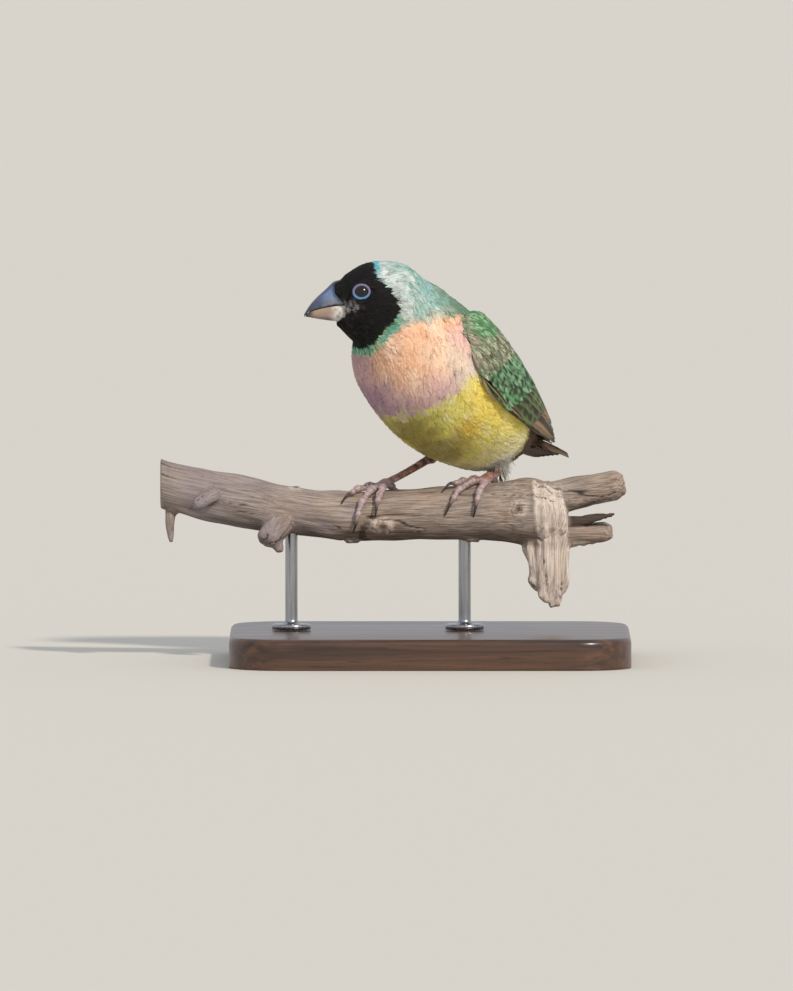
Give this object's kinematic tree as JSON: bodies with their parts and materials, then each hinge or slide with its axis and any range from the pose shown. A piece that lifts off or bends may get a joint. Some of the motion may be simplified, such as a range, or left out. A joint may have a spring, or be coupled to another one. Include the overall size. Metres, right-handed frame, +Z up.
{
  "type": "gouldian finch on a perch",
  "caption": "Still life-size museum model of a Gouldian finch gripping a cut length of dead branch, held over a flat display base by two short rods.",
  "frame": {"origin": "middle of the underside of the stand's base", "axes": "+Z up, +X along the branch to the right as the viewer sees the picture, the viewer looks along +Y; the bird faces left and towards the viewer"},
  "size_m": [0.122, 0.0888, 0.105],
  "materials": {
    "plumage": "soft small feathers: black mask, grey-green nape, lilac breast, yellow belly",
    "flight_feathers": "flat vaned feathers with a fine silky grain, green over brown",
    "leg_skin": "scaly pink skin",
    "claw": "dark horn with a dull shine",
    "eye": "wet glossy dark eye",
    "bill": "smooth horn, blue-grey above and pinkish cream below",
    "perch_wood": "weathered grey dead branch with fine grain, knots and splintered ends",
    "base_wood": "dark hardwood with a satin finish",
    "rod_steel": "brushed steel rod"
  },
  "bodies": {
    "root": {"head": "plumage", "neck": "plumage", "torso": "plumage", "wing_left": "flight_feathers", "wing_right": "flight_feathers", "tail": "flight_feathers", "thigh_left": "plumage", "thigh_right": "plumage", "tarsus_left": "leg_skin", "tarsus_right": "leg_skin", "foot_left": "leg_skin", "foot_right": "leg_skin", "claw_left_inner": "claw", "claw_left_middle": "claw", "claw_left_outer": "claw", "claw_left_hind": "claw", "claw_right_inner": "claw", "claw_right_middle": "claw", "claw_right_outer": "claw", "claw_right_hind": "claw", "eye_left": "eye", "eye_right": "eye", "bill_upper": "bill", "bill_lower": "bill", "perch": "perch_wood", "stand_base": "base_wood", "stand_rod_left": "rod_steel", "stand_rod_right": "rod_steel"}
  },
  "joints": []
}
